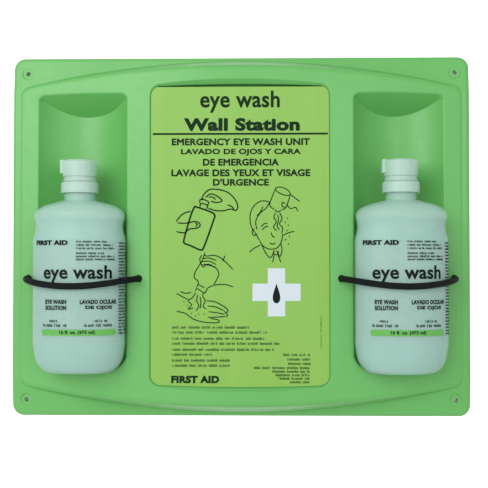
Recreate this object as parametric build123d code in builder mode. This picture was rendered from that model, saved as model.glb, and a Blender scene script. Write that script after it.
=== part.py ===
"""Wall-mounted eyewash station: a moulded panel with two niches, each holding a squeeze bottle
of saline behind an elastic cord.

Frame: millimetres, +X to the right and +Z up as a person facing the station sees it, and the
station's front towards -Y. The wall is the plane Y = 0. The origin is on the wall, at the
centre of the four screw holes. "Height" below means the distance from the wall, along -Y.
"""

from build123d import *

import math
import os

# --- Panel ---------------------------------------------------------------------------------
PANEL_WIDTH = 445.0
PANEL_HEIGHT = 350.0
PANEL_CORNER_R = 11.5
SKIN = 2.5  # wall thickness of the moulding
BASE_HEIGHT = 21.6  # of the outer border, where the screw cups are
BORDER_FLAT_Z = 138.0  # above and below this the border slopes back
BORDER_EDGE_HEIGHT = 17.6  # its height at the panel's top and bottom edges
BORDER_DRAFT = 2.0  # degrees
BORDER_EDGE_R = 4.5

BULGE_HALF_WIDTH = 215.5  # the bowed middle runs almost to the panel's sides
BULGE_END_Z = 145.0  # half height of the bowed middle at its left and right ends
BULGE_RISE = 26.0  # how much taller it is at the centre
BULGE_DRAFT = 21.0  # degrees
BULGE_FACE_R = 1200.0
BULGE_TOP_HEIGHT = 41.5  # highest point of the bowed face, at the centre line
BULGE_CORNER_R = 12.0
BULGE_CREST_R = 5.0
BULGE_ROOT = 4.0  # how far the bowed middle reaches down into the border

RECESS_WIDTH = 170.0  # flat seat of the placard
RECESS_HIGH_Z = 142.5  # at its left and right ends
RECESS_LOW_Z = -141.9
RECESS_BOW = 2.2  # how far its top and bottom edges bow out at the middle
RECESS_CORNER_R = 9.5
RECESS_EDGE_R = 0.8
RECESS_HEIGHT = 37.0
RECESS_DRAFT = 45.0  # degrees
RECESS_REACH = 12.0  # how far the seat is cut forward of its floor
CUT_PAST = 1.0  # how far a cut runs past the face it opens

PLACARD_GAP = 0.3
PLACARD_THICKNESS = 1.2
PLACARD_HIGH_Z = 141.8  # its straight top edge leaves a gap under the recess's bowed edge
GROOVE_DEPTH = 8.0  # of the groove that the gap opens into
GROOVE_LAP = 0.4  # how far the placard's top edge hangs over the groove

CUP_SPACING_X = 415.0
CUP_SPACING_Z = 317.0
CUP_R = 5.4  # of the flat floor
CUP_DEPTH = 3.0
CUP_DRAFT = 27.0  # degrees
BOSS_R = 9.3
SCREW_HOLE_R = 2.2

# --- Niches --------------------------------------------------------------------------------
NICHE_X = 152.0
NICHE_HALF_WIDTH = 44.3
NICHE_DEPTH = 24.0
NICHE_TOP_Z = 136.5
NICHE_TOP_DROP = 19.0  # the roof slopes down by this much towards the wall
NICHE_TOP_CORNER_R = 7.0
NICHE_FOOT_CORNER_R = 22.0
NICHE_EDGE_R = 2.0
NICHE_SIDE_GAP = 0.4  # beyond the scoop's edge, so that the outline does not trim it
SHELF_Z = -129.6

# --- Bottles -------------------------------------------------------------------------------
BOTTLE_AXIS_HEIGHT = 43.0
BOTTLE_GAP = 0.2  # over the shelf
BOTTLE_WALL = 1.2
BODY_HALF_WIDTH = 43.8
BODY_HALF_DEPTH = 26.8
BODY_LOW_Z = 27.0  # the body's section is constant from here
BODY_HIGH_Z = 123.6  # to here
FILL_Z = 145.3
LIQUID_GAP = 0.15  # between the liquid and the wall
# (z, half width, half depth) of the rounded foot and of the waist and shoulder
FOOT = [(0, 29.0, 17.3), (1.5, 33.0, 19.9), (6, 37.8, 22.8), (15, 41.8, 25.4), (27, 43.8, 26.8)]
SHOULDER = [
    (123.6, 43.8, 26.8), (126.6, 43.5, 26.6), (129.8, 42.6, 25.7), (133.2, 41.8, 25.2),
    (141.0, 41.6, 25.1), (144.6, 42.3, 25.5), (148.1, 42.8, 25.8), (151.5, 41.5, 25.0),
    (154.4, 38.6, 23.6), (156.7, 34.6, 21.9), (159.2, 27.2, 19.0), (160.9, 20.4, 16.6),
    (162.0, 14.9, 14.7),
]
NECK_R = 14.4
NECK_BORE_R = 12.4
NECK_TOP_Z = 177.3
BEAD_Z = (171.0, 174.0)  # two beads on the neck that the collar snaps over
BEAD_R = 0.8
LABEL_THICKNESS = 0.15
LABEL_LOW_Z = 29.6
LABEL_HIGH_Z = 123.3
LABEL_WRAP_X = -41.4  # the film starts here on the left and wraps round the right side
LABEL_REAR_Y = 8.0  # how far behind the bottle's axis it ends on the right

# --- Closure -------------------------------------------------------------------------------
COLLAR_LOW_Z = 169.2
COLLAR_R = 17.6
COLLAR_BORE_R = 15.9
COLLAR_LIP = 1.1
COLLAR_CROWN_R = 2.4
COLLAR_FOOT_R = 0.5
WASHER_THICKNESS = 0.8
FLANGE_THICKNESS = 0.7
FLANGE_R = 14.6
SPOUT_R = 11.9
SPOUT_HIGH_Z = 196.9
SPOUT_WALL = 1.2
SPOUT_PLUG_LOW_Z = 170.3
JET_R = 0.8
JET_RINGS = [(0.0, 1), (4.0, 6), (7.5, 10)]  # ring radius, number of jets
RING_LOW_Z = 180.1
RING_HIGH_Z = 184.6
RING_R = 15.0
RING_FLARE = 0.6
CAP_LOW_Z = 184.8
CAP_HIGH_Z = 200.5
CAP_LOW_R = 15.7
CAP_R = 16.8
CAP_CROWN_R = 3.4
CAP_WALL = 1.8
CAP_BORE_R = 12.3
LINER_THICKNESS = 1.6
WING_WIDTH = 12.0
WING_REACH = 17.8
WING_LOW_Z = 188.0
WING_EDGE_R = 0.7

# --- Elastic cords -------------------------------------------------------------------------
CORD_R = 3.0
CORD_HOLE_R = 3.5
CORD_HOLE_X = (96.5, 205.5)  # inner and outer hole
CORD_Z = -41.0
KNOT_R = 5.6
KNOT_FLAT = 4.5  # from the knot's centre to the flat where the cord meets it
# Route of the cord over its bottle: x outward from the bottle's axis, height, z.
CORD_ROUTE = [
    (CORD_HOLE_X[0] - NICHE_X, 33.9, CORD_Z),
    (CORD_HOLE_X[0] - NICHE_X, 44.5, CORD_Z),
    (-45.4, 57.8, -42.6),
    (-31.2, 67.6, -45.0),
    (-11.7, 73.2, -47.4),
    (11.7, 73.2, -47.8),
    (31.2, 67.6, -45.8),
    (44.8, 56.6, -43.4),
    (51.2, 43.0, -41.6),
    (CORD_HOLE_X[1] - NICHE_X, 30.6, CORD_Z),
    (CORD_HOLE_X[1] - NICHE_X, 19.6, CORD_Z),
]

SIDES = {"left": -1, "right": 1}


def face_height(x):
    """Height of the bowed face at x."""
    return BULGE_TOP_HEIGHT - BULGE_FACE_R + math.sqrt(BULGE_FACE_R**2 - x**2)


def niche_plane(side):
    """Plane on the bowed face at a niche's centre: local x along the face, y up, z outward."""
    inner = (NICHE_X - NICHE_HALF_WIDTH, face_height(NICHE_X - NICHE_HALF_WIDTH))
    outer = (NICHE_X + NICHE_HALF_WIDTH, face_height(NICHE_X + NICHE_HALF_WIDTH))
    middle = ((inner[0] + outer[0]) / 2, (inner[1] + outer[1]) / 2)
    slope = math.atan2(inner[1] - outer[1], outer[0] - inner[0])
    return Plane(
        origin=(side * middle[0], -middle[1], 0),
        x_dir=(math.cos(slope), side * math.sin(slope), 0),
        z_dir=(side * math.sin(slope), -math.cos(slope), 0),
    )


def runs_outward(edge, face):
    """True for a straight edge that runs away from the face rather than along it."""
    away = abs(edge.tangent_at(0.5).dot(face.z_dir)) > 0.5
    return away and edge.length > 5 and edge.geom_type == GeomType.LINE


def niche_cutter(side, grow):
    """The scooped space of one niche, grown by a wall thickness for the panel's inner form."""
    face = niche_plane(side)
    radius = (NICHE_HALF_WIDTH**2 + NICHE_DEPTH**2) / (2 * NICHE_DEPTH)
    low = SHELF_Z - grow
    high = NICHE_TOP_Z + grow
    reach = BULGE_TOP_HEIGHT + NICHE_DEPTH
    back = -NICHE_DEPTH - grow - CUT_PAST
    half = NICHE_HALF_WIDTH + grow + NICHE_SIDE_GAP
    slope = NICHE_TOP_DROP / NICHE_DEPTH
    with BuildPart() as cutter:
        axis = face.from_local_coords(Vector(0, 0, radius - NICHE_DEPTH))
        with BuildSketch(Plane(origin=(axis.X, axis.Y, low))):
            Circle(radius + grow)
        extrude(amount=high + reach - low)
        with BuildSketch(face.offset(back)):
            with BuildLine():
                FilletPolyline(
                    (-half, high + reach), (-half, low), (half, low), (half, high + reach),
                    radius=NICHE_FOOT_CORNER_R + grow, close=False,
                )
                Line((half, high + reach), (-half, high + reach))
            make_face()
        extrude(amount=2 * reach, mode=Mode.INTERSECT)
        side_view = Plane(origin=face.origin, x_dir=face.z_dir, z_dir=-face.x_dir)
        if side_view.y_dir.Z < 0:
            side_view = Plane(origin=face.origin, x_dir=face.z_dir, z_dir=face.x_dir)
        with BuildSketch(side_view):
            Polygon(
                (back, low), (reach, low), (reach, high + slope * reach),
                (back, high + slope * back), align=None,
            )
        extrude(amount=2 * half, both=True, mode=Mode.INTERSECT)
        roof = cutter.faces().filter_by(lambda f: f.normal_at().Z > 0.5).sort_by(Axis.Z)[-1]
        corners = roof.edges().filter_by(lambda e: runs_outward(e, face))
        if corners:
            fillet(corners, radius=NICHE_TOP_CORNER_R + grow)
    return cutter.part


def recess_outline(grow):
    """The placard's seat: upright sides, bowed top and bottom edges, round corners."""
    half = RECESS_WIDTH / 2 + grow
    high = RECESS_HIGH_Z + grow
    low = RECESS_LOW_Z - grow
    with BuildSketch() as outline:
        with BuildLine():
            ThreePointArc((-half, high), (0, high + RECESS_BOW), (half, high))
            Line((half, high), (half, low))
            ThreePointArc((half, low), (0, low - RECESS_BOW), (-half, low))
            Line((-half, low), (-half, high))
        make_face()
        fillet(outline.vertices(), radius=RECESS_CORNER_R + grow)
    return outline.sketch


def recess_cutter(grow):
    """The placard's seat, with walls that spread towards the front."""
    with BuildPart() as cutter:
        with BuildSketch(Plane.XZ.offset(RECESS_HEIGHT - grow)):
            add(recess_outline(grow))
        extrude(amount=RECESS_REACH, taper=-RECESS_DRAFT)
    return cutter.part


def groove_cutter(grow):
    """The narrow groove behind the gap over the placard's top edge."""
    low = PLACARD_HIGH_Z - GROOVE_LAP - grow
    depth = GROOVE_DEPTH + grow
    with BuildPart() as cutter:
        with BuildSketch(Plane.XZ.offset(RECESS_HEIGHT - depth)):
            add(recess_outline(grow))
            with Locations((0, low - PANEL_HEIGHT / 2)):
                Rectangle(PANEL_WIDTH, PANEL_HEIGHT, mode=Mode.SUBTRACT)
        extrude(amount=depth)
    return cutter.part


def cup_places():
    """The four screw cups, on a plane parallel to the wall."""
    return GridLocations(CUP_SPACING_X, CUP_SPACING_Z, 2, 2)


def border_slopes(inset):
    """Two wedges that take the border's top and bottom down from their flat height."""
    reach = 1.5
    end = PANEL_HEIGHT / 2
    drop = BASE_HEIGHT - BORDER_EDGE_HEIGHT
    run = end - BORDER_FLAT_Z
    side_view = Plane(origin=(-PANEL_WIDTH, 0, 0), x_dir=(0, -1, 0), z_dir=(1, 0, 0))
    high = BASE_HEIGHT - inset
    with BuildPart() as wedges:
        with BuildSketch(side_view):
            for sign in (1, -1):
                Polygon(
                    (high, sign * BORDER_FLAT_Z),
                    (high - reach * drop, sign * (BORDER_FLAT_Z + reach * run)),
                    (high + CUT_PAST, sign * (BORDER_FLAT_Z + reach * run)),
                    (high + CUT_PAST, sign * BORDER_FLAT_Z), align=None,
                )
        extrude(amount=2 * PANEL_WIDTH)
    return wedges.part


def panel_form(inset):
    """The panel's outline as a full body. Its inner form is the same, inset by the skin."""
    half = BULGE_HALF_WIDTH - inset
    end = BULGE_END_Z - inset
    crown = BULGE_END_Z + BULGE_RISE - inset
    below = CUT_PAST if inset else 0.0  # the inner form runs past the wall's plane
    root = BASE_HEIGHT - inset - BULGE_ROOT
    with BuildPart() as form:
        with BuildSketch(Plane.XZ.offset(-below)):
            RectangleRounded(
                PANEL_WIDTH - 2 * inset, PANEL_HEIGHT - 2 * inset, PANEL_CORNER_R - inset
            )
        extrude(amount=BASE_HEIGHT - inset + below, taper=BORDER_DRAFT)
        add(border_slopes(inset), mode=Mode.SUBTRACT)
        if not inset:
            rim = form.edges().filter_by(lambda e: e.center().Y < -BORDER_EDGE_HEIGHT + 1)
            creases = rim.filter_by(Axis.X).filter_by(lambda e: abs(e.center().Z) < PANEL_HEIGHT / 2 - 5)
            fillet(rim - creases, radius=BORDER_EDGE_R)
    with BuildPart() as bulge:
        with BuildSketch(Plane.XZ.offset(root)) as plan:
            with BuildLine():
                ThreePointArc((-half, end), (0, crown), (half, end))
                Line((half, end), (half, -end))
                ThreePointArc((half, -end), (0, -crown), (-half, -end))
                Line((-half, -end), (-half, end))
            make_face()
            fillet(plan.vertices(), radius=BULGE_CORNER_R)
        extrude(amount=BULGE_TOP_HEIGHT - inset - root, taper=BULGE_DRAFT)
        with Locations((0, BULGE_FACE_R - BULGE_TOP_HEIGHT, 0)):
            Cylinder(BULGE_FACE_R - inset, PANEL_HEIGHT, mode=Mode.INTERSECT)
    with BuildPart() as whole:
        add(form.part)
        add(bulge.part)
    return whole


def bosses(low, high):
    """Hollow posts that carry the wall screws, from the wall to the floors of the cups."""
    with BuildPart() as posts:
        with BuildSketch(Plane.XZ.offset(low)):
            with cup_places():
                Circle(BOSS_R)
        extrude(amount=high - low)
    return posts.part


def on_bowed_face(point):
    """True for a point on the bowed face or at its edge."""
    return abs(-point.Y - face_height(abs(point.X))) < 0.6


def is_niche_rim(edge):
    """True for the edges where a niche's walls and roof meet the bowed face."""
    middle = edge.position_at(0.5)
    beside = abs(abs(middle.X) - NICHE_X) < NICHE_HALF_WIDTH + 2
    return on_bowed_face(middle) and beside and SHELF_Z - 1 < middle.Z < BULGE_END_Z


def is_bulge_crest(edge):
    """True for the two long edges where the bowed face meets its top and bottom slopes."""
    middle = edge.position_at(0.5)
    return on_bowed_face(middle) and abs(middle.Z) > BULGE_END_Z and edge.length > PANEL_WIDTH / 2


def is_seat_rim(edge):
    """True for the edges where the walls of the placard's seat meet the bowed face."""
    middle = edge.position_at(0.5)
    beside = abs(middle.X) < RECESS_WIDTH / 2 + 6 and abs(middle.Z) < RECESS_HIGH_Z + 10
    return on_bowed_face(middle) and beside


def main_panel():
    """The moulded back panel, open at the back, with its rim on the wall."""
    outer = panel_form(0.0)
    inner = panel_form(SKIN)
    with BuildPart() as void:
        add(inner.part)
        for side in SIDES.values():
            add(niche_cutter(side, SKIN), mode=Mode.SUBTRACT)
        add(recess_cutter(SKIN), mode=Mode.SUBTRACT)
        add(groove_cutter(SKIN), mode=Mode.SUBTRACT)
        add(bosses(-2 * CUT_PAST, BASE_HEIGHT), mode=Mode.SUBTRACT)
    with BuildPart() as panel:
        add(outer.part)
        for side in SIDES.values():
            add(niche_cutter(side, 0.0), mode=Mode.SUBTRACT)
        add(recess_cutter(0.0), mode=Mode.SUBTRACT)
        add(groove_cutter(0.0), mode=Mode.SUBTRACT)
        rims = panel.edges().filter_by(is_niche_rim)
        fillet(rims, radius=NICHE_EDGE_R)
        crests = panel.edges().filter_by(is_bulge_crest)
        fillet(crests, radius=BULGE_CREST_R)
        seat_rims = panel.edges().filter_by(is_seat_rim)
        fillet(seat_rims, radius=RECESS_EDGE_R)
        add(void.part, mode=Mode.SUBTRACT)
        with BuildSketch(Plane.XZ.offset(BASE_HEIGHT - CUP_DEPTH)):
            with cup_places():
                Circle(CUP_R)
        extrude(amount=CUP_DEPTH + CUT_PAST, taper=-CUP_DRAFT, mode=Mode.SUBTRACT)
        with BuildSketch(Plane.XZ.offset(-CUT_PAST)):
            with cup_places():
                Circle(SCREW_HOLE_R)
        extrude(amount=BASE_HEIGHT, mode=Mode.SUBTRACT)
        with BuildSketch(Plane.XZ):
            for side in SIDES.values():
                for x in CORD_HOLE_X:
                    with Locations((side * x, CORD_Z)):
                        Circle(CORD_HOLE_R)
        extrude(amount=BULGE_TOP_HEIGHT, mode=Mode.SUBTRACT)
    return panel


def placard():
    """The printed plate in the middle of the panel."""
    with BuildPart() as plate:
        with BuildSketch(Plane.XZ.offset(RECESS_HEIGHT)):
            add(recess_outline(-PLACARD_GAP))
            with Locations((0, PLACARD_HIGH_Z + PANEL_HEIGHT / 2)):
                Rectangle(PANEL_WIDTH, PANEL_HEIGHT, mode=Mode.SUBTRACT)
        extrude(amount=PLACARD_THICKNESS)
    return plate


def oval_stack(sections, inset, lift, base):
    """One smooth body through oval sections, each given as z, half width and half depth."""
    with BuildPart() as stack:
        for z, half_width, half_depth in sections:
            with BuildSketch(base.offset(z + lift)):
                Ellipse(half_width - inset, half_depth - inset)
        loft()
    return stack.part


def bottle_form(base, inset):
    """The bottle's shape up to the neck. The inside is the same, inset by the wall."""
    with BuildPart() as form:
        add(oval_stack(FOOT, inset, inset, base))
        with BuildSketch(base.offset(BODY_LOW_Z + inset)):
            Ellipse(BODY_HALF_WIDTH - inset, BODY_HALF_DEPTH - inset)
        extrude(amount=BODY_HIGH_Z - BODY_LOW_Z - 2 * inset)
        add(oval_stack(SHOULDER, inset, -inset, base))
    return form


def bottle(base):
    """The squeeze bottle: a thin shell with an open neck."""
    outer = bottle_form(base, 0.0)
    inner = bottle_form(base, BOTTLE_WALL)
    neck_low = SHOULDER[-1][0]
    with BuildPart() as shell:
        add(outer.part)
        with BuildSketch(base.offset(neck_low - 0.5)):
            Circle(NECK_R)
        extrude(amount=NECK_TOP_Z - neck_low + 0.5)
        for z in BEAD_Z:
            with Locations(base.offset(z)):
                Torus(NECK_R, BEAD_R)
        add(inner.part, mode=Mode.SUBTRACT)
        with BuildSketch(base.offset(neck_low - 2.5)):
            Circle(NECK_BORE_R)
        extrude(amount=NECK_TOP_Z - neck_low + 5, mode=Mode.SUBTRACT)
    return shell


def saline(base):
    """The liquid, up to the fill line."""
    form = bottle_form(base, BOTTLE_WALL + LIQUID_GAP)
    with BuildPart() as liquid:
        add(form.part)
        with BuildSketch(base.offset(FILL_Z)):
            Rectangle(4 * BODY_HALF_WIDTH, 4 * BODY_HALF_DEPTH)
        extrude(amount=60, mode=Mode.SUBTRACT)
    return liquid


def label(base):
    """The printed film round the front and the right side of the bottle."""
    with BuildPart() as film:
        with BuildSketch(base.offset(LABEL_LOW_Z)):
            Ellipse(BODY_HALF_WIDTH + LABEL_THICKNESS, BODY_HALF_DEPTH + LABEL_THICKNESS)
            Ellipse(BODY_HALF_WIDTH, BODY_HALF_DEPTH, mode=Mode.SUBTRACT)
            with Locations((LABEL_WRAP_X - BODY_HALF_WIDTH, 0)):
                Rectangle(2 * BODY_HALF_WIDTH, 4 * BODY_HALF_DEPTH, mode=Mode.SUBTRACT)
            with Locations((0, BODY_HALF_DEPTH + LABEL_REAR_Y)):
                Rectangle(4 * BODY_HALF_WIDTH, 2 * BODY_HALF_DEPTH, mode=Mode.SUBTRACT)
        extrude(amount=LABEL_HIGH_Z - LABEL_LOW_Z)
    return film


def turned(base, outline):
    """A part turned about the bottle's axis from an outline of (radius, z) points."""
    side_view = Plane(origin=base.origin, x_dir=(1, 0, 0), z_dir=(0, -1, 0))
    with BuildPart() as shape:
        with BuildSketch(side_view):
            Polygon(*outline, align=None)
        revolve(axis=Axis(base.origin, (0, 0, 1)))
    return shape.part


def washer(base):
    """The soft seal between the bottle's lip and the nozzle's flange."""
    with BuildPart() as seal:
        with BuildSketch(base.offset(NECK_TOP_Z)):
            Circle(NECK_R)
            Circle(NECK_BORE_R + 0.2, mode=Mode.SUBTRACT)
        extrude(amount=WASHER_THICKNESS)
    return seal


def spray_nozzle(base):
    """The insert with the jets: a spout, a flange on the washer and a plug in the neck."""
    flange_low = NECK_TOP_Z + WASHER_THICKNESS
    flange_high = flange_low + FLANGE_THICKNESS
    bore = SPOUT_R - SPOUT_WALL
    with BuildPart() as insert:
        add(turned(base, [
            (bore, SPOUT_PLUG_LOW_Z), (SPOUT_R, SPOUT_PLUG_LOW_Z), (SPOUT_R, flange_low),
            (FLANGE_R, flange_low), (FLANGE_R, flange_high), (SPOUT_R, flange_high),
            (SPOUT_R, SPOUT_HIGH_Z), (0, SPOUT_HIGH_Z), (0, SPOUT_HIGH_Z - SPOUT_WALL),
            (bore, SPOUT_HIGH_Z - SPOUT_WALL),
        ]))
        rim = insert.faces().filter_by(Axis.Z).sort_by(Axis.Z)[-1]
        chamfer(rim.edges(), length=SPOUT_WALL / 2)
        for ring_radius, count in JET_RINGS:
            with BuildSketch(base.offset(SPOUT_HIGH_Z - 2 * SPOUT_WALL)):
                with PolarLocations(ring_radius, count):
                    Circle(JET_R)
            extrude(amount=3 * SPOUT_WALL, mode=Mode.SUBTRACT)
    return insert


def collar(base):
    """The ring that snaps over the neck's beads and holds the nozzle down."""
    lip_low = NECK_TOP_Z + WASHER_THICKNESS + FLANGE_THICKNESS
    with BuildPart() as ring:
        add(turned(base, [
            (COLLAR_BORE_R, COLLAR_LOW_Z), (COLLAR_R, COLLAR_LOW_Z),
            (COLLAR_R, lip_low + COLLAR_LIP), (SPOUT_R + 0.3, lip_low + COLLAR_LIP),
            (SPOUT_R + 0.3, lip_low), (COLLAR_BORE_R, lip_low),
        ]))
        rims = ring.edges().filter_by(GeomType.CIRCLE).sort_by(SortBy.RADIUS)[-2:].sort_by(Axis.Z)
        fillet(rims[0], radius=COLLAR_FOOT_R)
        fillet(rims[1], radius=COLLAR_CROWN_R)
    return ring


def tamper_ring(base):
    """The loose ring that tears off when the cap is first twisted."""
    bore = SPOUT_R + 0.4
    middle = (RING_LOW_Z + RING_HIGH_Z) / 2
    with BuildPart() as ring:
        add(turned(base, [
            (bore, RING_LOW_Z), (RING_R + RING_FLARE, RING_LOW_Z),
            (RING_R, middle), (RING_R, RING_HIGH_Z), (bore, RING_HIGH_Z),
        ]))
    return ring


def cap(base):
    """The twist cap, with the wing that a thumb pushes."""
    roof = CAP_HIGH_Z - CAP_WALL
    with BuildPart() as hood:
        add(turned(base, [
            (CAP_BORE_R, CAP_LOW_Z), (CAP_LOW_R, CAP_LOW_Z), (CAP_R, CAP_HIGH_Z),
            (0, CAP_HIGH_Z), (0, roof), (CAP_BORE_R, roof),
        ]))
        top = hood.faces().filter_by(Axis.Z).sort_by(Axis.Z)[-1]
        fillet(top.edges(), radius=CAP_CROWN_R)
        with BuildSketch(base.offset(WING_LOW_Z)):
            with Locations((-(WING_REACH + CAP_BORE_R) / 2 - 0.5, 0)):
                Rectangle(WING_REACH - CAP_BORE_R - 1, WING_WIDTH)
        extrude(amount=CAP_HIGH_Z - WING_LOW_Z)
        tip = hood.faces().filter_by(Axis.X).sort_by(Axis.X)[0]
        fillet(tip.edges(), radius=WING_EDGE_R)
    return hood


def cap_liner(base):
    """The disc inside the cap that closes the jets."""
    roof = CAP_HIGH_Z - CAP_WALL
    with BuildPart() as disc:
        with BuildSketch(base.offset(roof - LINER_THICKNESS)):
            Circle(CAP_BORE_R - 0.1)
        extrude(amount=LINER_THICKNESS)
    return disc


def cord_path(side):
    """The corners of one elastic cord's route, from behind the panel and back to it."""
    return [(side * (NICHE_X + x), -height, z) for x, height, z in CORD_ROUTE]


def cord(side):
    """The elastic cord across the front of the bottle."""
    points = [Vector(*point) for point in cord_path(side)]
    radii = []
    for before, here, after in zip(points, points[1:], points[2:]):
        run_in = here - before
        run_out = after - here
        turn = math.radians(run_in.get_angle(run_out))
        radii.append(0.45 * min(run_in.length, run_out.length) / math.tan(turn / 2))
    print("cord radii", [round(radius, 1) for radius in radii])
    with BuildPart() as line:
        with BuildLine() as route:
            FilletPolyline(*points, radius=radii)
        start = route.wires()[0]
        with BuildSketch(Plane(origin=start @ 0, z_dir=start % 0)):
            Circle(CORD_R)
        sweep(path=start)
    length = start.length
    print("cord length", round(length, 1), "volume over section times length",
          round(line.part.volume / (math.pi * CORD_R**2 * length), 4))
    return line


def knots(side):
    """The two knots behind the panel that keep the cord's ends from pulling through."""
    path = cord_path(side)
    with BuildPart() as pair:
        for x, y, z in (path[0], path[-1]):
            with Locations((x, y + KNOT_FLAT, z)):
                Sphere(KNOT_R)
            with Locations((x, y - KNOT_R / 2, z)):
                Box(4 * KNOT_R, KNOT_R, 4 * KNOT_R, mode=Mode.SUBTRACT)
    return pair


def save(piece, name):
    """Labels a finished piece and writes it."""
    piece.part.label = name
    export_step(piece.part, f"parts/{name}.step")


os.makedirs("parts", exist_ok=True)
save(main_panel(), "back_panel")
save(placard(), "placard")
for name, side in SIDES.items():
    stand = Plane(origin=(side * NICHE_X, -BOTTLE_AXIS_HEIGHT, SHELF_Z + BOTTLE_GAP))
    save(bottle(stand), f"{name}_bottle")
    save(saline(stand), f"{name}_saline")
    save(label(stand), f"{name}_label")
    save(washer(stand), f"{name}_washer")
    save(spray_nozzle(stand), f"{name}_spray_nozzle")
    save(collar(stand), f"{name}_collar")
    save(tamper_ring(stand), f"{name}_tamper_ring")
    save(cap(stand), f"{name}_cap")
    save(cap_liner(stand), f"{name}_cap_liner")
    save(cord(side), f"{name}_cord")
    save(knots(side), f"{name}_cord_knots")
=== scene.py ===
"""Looks of a wall-mounted eyewash station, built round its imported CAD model.

The CAD nodes for the panel, the placard, the bottles and their closures stay where they are and
get finishes. The elastic cords and their knots are made here as braided tubes, and the print on
the placard and the bottles is made as thin solid ink. Units are metres. +X is to the right, +Z
is up and the station faces -Y, with the wall at Y = 0.
"""

import logging
import math
from dataclasses import dataclass, field
from enum import Enum

import bmesh
import bpy
import numpy as np
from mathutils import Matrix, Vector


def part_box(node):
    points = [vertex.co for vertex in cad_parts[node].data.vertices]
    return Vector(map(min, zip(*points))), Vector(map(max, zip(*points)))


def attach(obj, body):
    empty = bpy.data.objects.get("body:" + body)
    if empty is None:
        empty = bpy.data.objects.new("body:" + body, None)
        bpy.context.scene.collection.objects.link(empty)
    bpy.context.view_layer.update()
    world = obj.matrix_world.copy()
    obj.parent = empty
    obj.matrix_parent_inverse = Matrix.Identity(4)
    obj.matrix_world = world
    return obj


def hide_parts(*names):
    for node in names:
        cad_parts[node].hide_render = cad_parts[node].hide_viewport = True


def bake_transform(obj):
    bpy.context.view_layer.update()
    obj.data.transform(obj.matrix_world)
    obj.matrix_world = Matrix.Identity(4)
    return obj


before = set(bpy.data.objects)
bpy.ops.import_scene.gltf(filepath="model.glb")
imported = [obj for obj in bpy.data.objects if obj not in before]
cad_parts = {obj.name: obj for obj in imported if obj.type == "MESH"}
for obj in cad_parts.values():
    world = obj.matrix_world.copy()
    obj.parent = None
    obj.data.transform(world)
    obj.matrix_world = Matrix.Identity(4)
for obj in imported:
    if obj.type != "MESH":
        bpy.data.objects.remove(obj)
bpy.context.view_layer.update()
LOG = logging.getLogger("eyewash_station")
MM = 0.001
LETTER_WELD = 0.0002  # letters are one unit tall until they are fitted to their box
LETTER_CUT = 0.12  # spacing of the cuts that let letters follow a curved face
Colour = tuple[float, float, float]
Place = tuple[float, float, float]
Socket = bpy.types.NodeSocket


class Side(Enum):
    """The two places for a bottle, and the sign of their X."""

    LEFT = -1
    RIGHT = 1

    @property
    def word(self) -> str:
        """The side's name, as node names start with it."""
        return self.name.lower()


class Slot(Enum):
    """Names of the record's material slots; a print keeps one, though nothing here reads it."""

    PLACARD = "placard_print"
    LABEL = "label_film"
    CORD = "elastic_cord"


# --- Node trees ------------------------------------------------------------------------------


def linear(red: int, green: int, blue: int) -> Colour:
    """Turns a display colour, 0 to 255 a channel, into the linear values that shaders take.

    Args:
        red: Red channel.
        green: Green channel.
        blue: Blue channel.

    Returns:
        The linear colour.
    """
    share = np.array([red, green, blue]) / 255
    low = share / 12.92
    high = ((share + 0.055) / 1.055) ** 2.4
    return tuple(float(v) for v in np.where(share <= 0.04045, low, high))


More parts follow.
